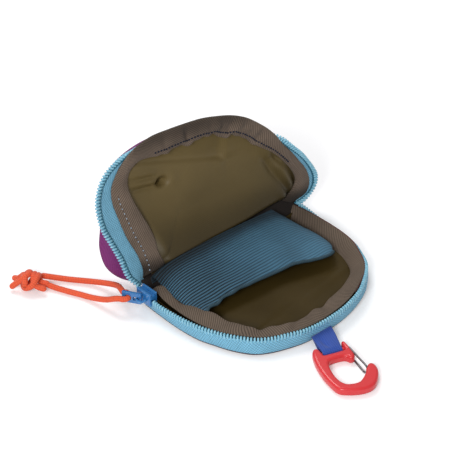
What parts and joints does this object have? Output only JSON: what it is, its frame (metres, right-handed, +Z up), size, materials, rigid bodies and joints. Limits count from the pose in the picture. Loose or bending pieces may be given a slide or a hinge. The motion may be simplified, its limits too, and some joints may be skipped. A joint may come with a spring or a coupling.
{
  "type": "zipped mini pouch",
  "caption": "Small soft D-shaped clamshell pouch, lying open, with a zip, knotted pull cord, inner mesh pocket and a webbing loop with a plastic carabiner.",
  "frame": {"origin": "middle of the base half's flat underside, on the surface that the open pouch lies on", "axes": "+Z up, +X along the cloth hinge, +Y from the front with the webbing loop towards the hinge and the lid"},
  "size_m": [0.1629, 0.1804, 0.0768],
  "materials": {
    "base_cloth": "dark woven cloth",
    "lid_cloth": "purple woven cloth, slightly shiny",
    "lining": "smooth olive coated lining",
    "facing_band": "brown ribbed band",
    "zip_tape": "light blue woven tape",
    "zip_teeth": "blue plastic teeth",
    "stretch_mesh": "teal ribbed stretch mesh",
    "slider_paint": "glossy blue paint",
    "pull_cord": "orange braided cord",
    "webbing": "blue woven webbing",
    "red_plastic": "satin red moulded plastic",
    "gate_wire": "dark steel wire"
  },
  "bodies": {
    "base": {"base_shell": "base_cloth", "base_lining": "lining", "base_facing_band": "facing_band", "base_zip_tape": "zip_tape", "base_zip_teeth": "zip_teeth", "hinge_gusset_base": "facing_band", "mesh_pocket": "stretch_mesh", "pocket_hem_binding": "stretch_mesh", "zip_end_stop": "zip_teeth"},
    "lid": {"lid_shell": "lid_cloth", "lid_lining": "lining", "lid_facing_band": "facing_band", "lid_zip_tape": "zip_tape", "lid_zip_teeth": "zip_teeth", "hinge_gusset_lid": "facing_band"},
    "slider": {"slider_body": "slider_paint", "slider_bridge": "slider_paint"},
    "puller": {"puller": "slider_paint"},
    "pull_cord": {"pull_cord_bight": "pull_cord", "pull_cord_upper": "pull_cord", "pull_cord_lower": "pull_cord", "pull_knot": "pull_cord"},
    "webbing": {"webbing_loop": "webbing"},
    "carabiner": {"carabiner_frame": "red_plastic"},
    "gate": {"carabiner_gate": "gate_wire"}
  },
  "joints": [
    {"name": "lid_fold", "type": "hinge", "parent": "base", "child": "lid", "pos_m": [0, 0.0385, 0.0095], "axis": [-1, 0, 0], "range_deg": [-88, 60]},
    {"name": "slider_run", "type": "slide", "parent": "base", "child": "slider", "axis": [0.03, -0.9996, 0], "range_m": [0, 0.01]},
    {"name": "puller_flip", "type": "hinge", "parent": "slider", "child": "puller", "pos_m": [-0.06005, 0.03482, 0.0091], "axis": [0, 0, 1], "range_deg": [-8, 100]},
    {"name": "cord_lift", "type": "hinge", "parent": "puller", "child": "pull_cord", "pos_m": [-0.06335, 0.04012, 0.0091], "axis": [0.848, 0.5299, 0], "range_deg": [0, 55]},
    {"name": "webbing_flap", "type": "hinge", "parent": "base", "child": "webbing", "pos_m": [-0.0068, -0.0388, 0.0042], "axis": [-1, 0, 0], "range_deg": [0, 30]},
    {"name": "carabiner_swing", "type": "hinge", "parent": "webbing", "child": "carabiner", "pos_m": [-0.01154, -0.05219, 0.0024], "axis": [-0.9426, 0.3338, 0], "range_deg": [0, 75]},
    {"name": "gate_open", "type": "hinge", "parent": "carabiner", "child": "gate", "pos_m": [-0.00528, -0.05714, 0.00235], "axis": [0, 0, -1], "range_deg": [0, 22], "stiffness_Nm_per_rad": 0.01}
  ]
}
